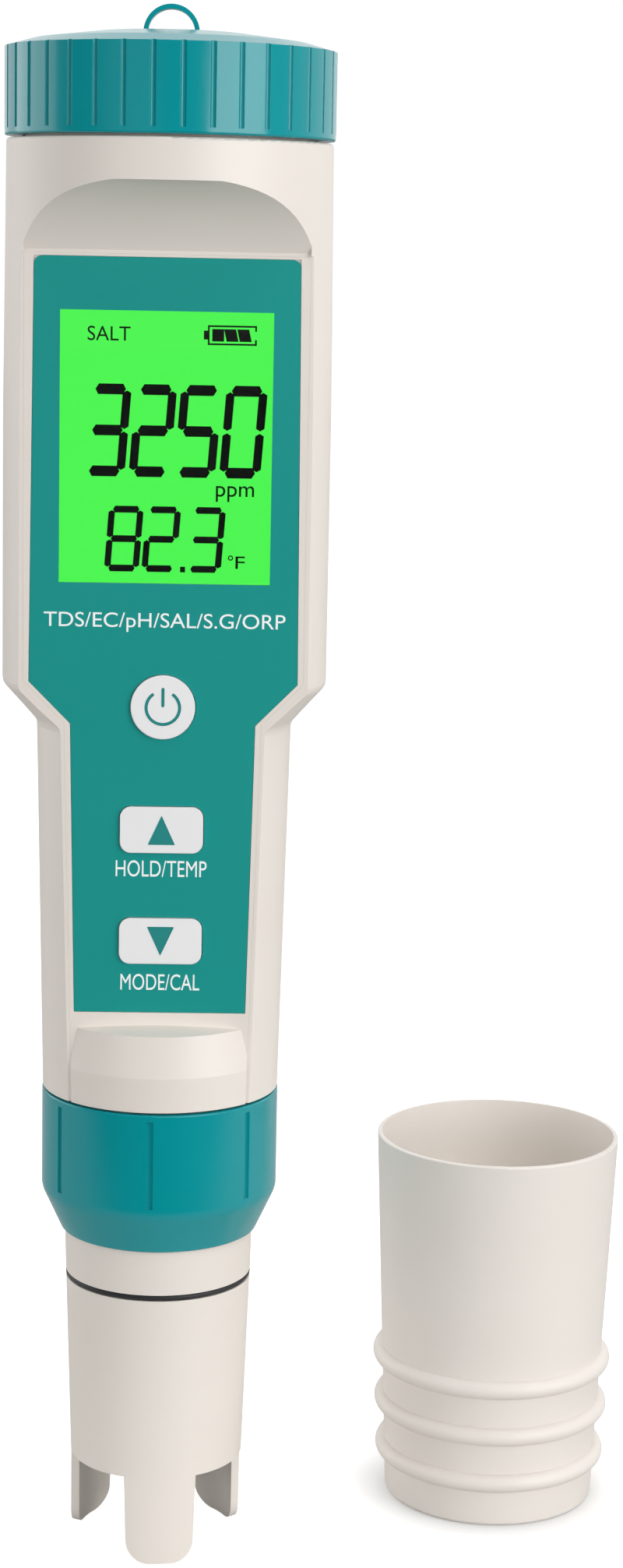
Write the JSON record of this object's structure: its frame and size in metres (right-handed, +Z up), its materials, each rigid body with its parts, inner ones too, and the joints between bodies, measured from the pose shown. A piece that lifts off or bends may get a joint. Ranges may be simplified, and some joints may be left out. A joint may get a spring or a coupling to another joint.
{
  "type": "digital water tester",
  "caption": "Pen-shaped multi-parameter water tester with lit display, press keys, screw battery cap, replaceable probe and a separate storage cap.",
  "frame": {"origin": "tip of the probe guard on the tester's axis, level with the foot of the storage cap", "axes": "+Z up along the tester to its battery cap, display faces -Y, storage cap stands towards +X"},
  "size_m": [0.0776, 0.0489, 0.1859],
  "materials": {
    "white_plastic": "satin",
    "white_cap": "satin",
    "white_key": "matte",
    "teal_plastic": "gloss",
    "label_film": "satin",
    "clear_window": "clear",
    "lcd": "lit green",
    "light_guide": "milky",
    "dark_plastic": "matte",
    "board": "solder mask",
    "steel": "plain",
    "cell_steel": "polished",
    "chip": "matte",
    "red_wire": "matte",
    "black_wire": "matte",
    "black_rubber": "satin",
    "gold": "plated",
    "clear_glass": "clear",
    "ceramic": "matte",
    "platinum": "polished",
    "graphite": "satin",
    "sponge": "open cell"
  },
  "bodies": {
    "tester": {"body_shell": "white_plastic", "front_cover": "white_plastic", "panel_label": "label_film", "display_window": "clear_window", "lcd_glass": "lcd", "lcd_backlight": "light_guide", "lcd_frame": "dark_plastic", "power_switch": "dark_plastic", "up_switch": "dark_plastic", "down_switch": "dark_plastic", "main_board": "board", "board_screws": "steel", "main_controller": "chip", "measuring_amplifier": "chip", "memory_chip": "chip", "display_driver": "chip", "timing_crystal": "steel", "wire_terminal": "dark_plastic", "probe_terminal": "dark_plastic", "reservoir_capacitor": "steel", "battery_holder": "dark_plastic", "negative_contact": "steel", "positive_contact": "steel", "battery_cell_1": "cell_steel", "battery_cell_2": "cell_steel", "battery_cell_3": "cell_steel", "battery_cell_4": "cell_steel", "battery_lead_red": "red_wire", "battery_lead_black": "black_wire", "sensor_socket": "dark_plastic", "socket_leads": "red_wire"},
    "power_button": {"power_key": "white_key", "power_plunger": "dark_plastic"},
    "up_button": {"up_key": "white_key", "up_plunger": "dark_plastic"},
    "down_button": {"down_key": "white_key", "down_plunger": "dark_plastic"},
    "cap_carrier": {"cap_gasket": "black_rubber", "bridge_contact": "steel"},
    "cap": {"battery_cap": "teal_plastic", "lanyard_loop": "teal_plastic"},
    "probe": {"probe_body": "white_plastic", "probe_seal": "black_rubber", "probe_washer": "black_rubber", "probe_plug": "dark_plastic", "contact_pins": "gold", "ph_stem": "clear_glass", "ph_bulb": "clear_glass", "reference_junction": "ceramic", "orp_electrode": "platinum", "temperature_sensor": "steel", "conductivity_pins": "graphite", "sensor_plate": "dark_plastic", "probe_leads": "black_wire"},
    "collar": {"collar_nut": "teal_plastic"},
    "storage": {"storage_cap": "white_cap", "storage_sponge": "sponge"}
  },
  "joints": [
    {"name": "power_press", "type": "slide", "parent": "tester", "child": "power_button", "axis": [0, 1, 0], "range_m": [0, 0.0004], "stiffness_N_per_m": 2500, "springref_m": -0.0002},
    {"name": "up_press", "type": "slide", "parent": "tester", "child": "up_button", "axis": [0, 1, 0], "range_m": [0, 0.0004], "stiffness_N_per_m": 2500, "springref_m": -0.0002},
    {"name": "down_press", "type": "slide", "parent": "tester", "child": "down_button", "axis": [0, 1, 0], "range_m": [0, 0.0004], "stiffness_N_per_m": 2500, "springref_m": -0.0002},
    {"name": "cap_lift", "type": "slide", "parent": "tester", "child": "cap_carrier", "axis": [0, 0, 1], "range_m": [0, 0.0075]},
    {"name": "cap_turn", "type": "hinge", "parent": "cap_carrier", "child": "cap", "pos_m": [0, 0, 0.1755], "axis": [0, 0, 1], "range_deg": [0, 1080]},
    {"name": "probe_slide", "type": "slide", "parent": "tester", "child": "probe", "axis": [0, 0, -1], "range_m": [0, 0.006]},
    {"name": "collar_turn", "type": "hinge", "parent": "probe", "child": "collar", "pos_m": [0, 0, 0.05], "axis": [0, 0, -1], "range_deg": [0, 1080]},
    {"name": "storage_cap_lift", "type": "slide", "parent": "tester", "child": "storage", "axis": [0, 0, 1], "range_m": [0, 0.06]}
  ],
  "couplings": [
    {"joint": "cap_lift", "follows": "cap_turn", "m_per_rad": 0.00039789},
    {"joint": "probe_slide", "follows": "collar_turn", "m_per_rad": 0.00031831}
  ]
}
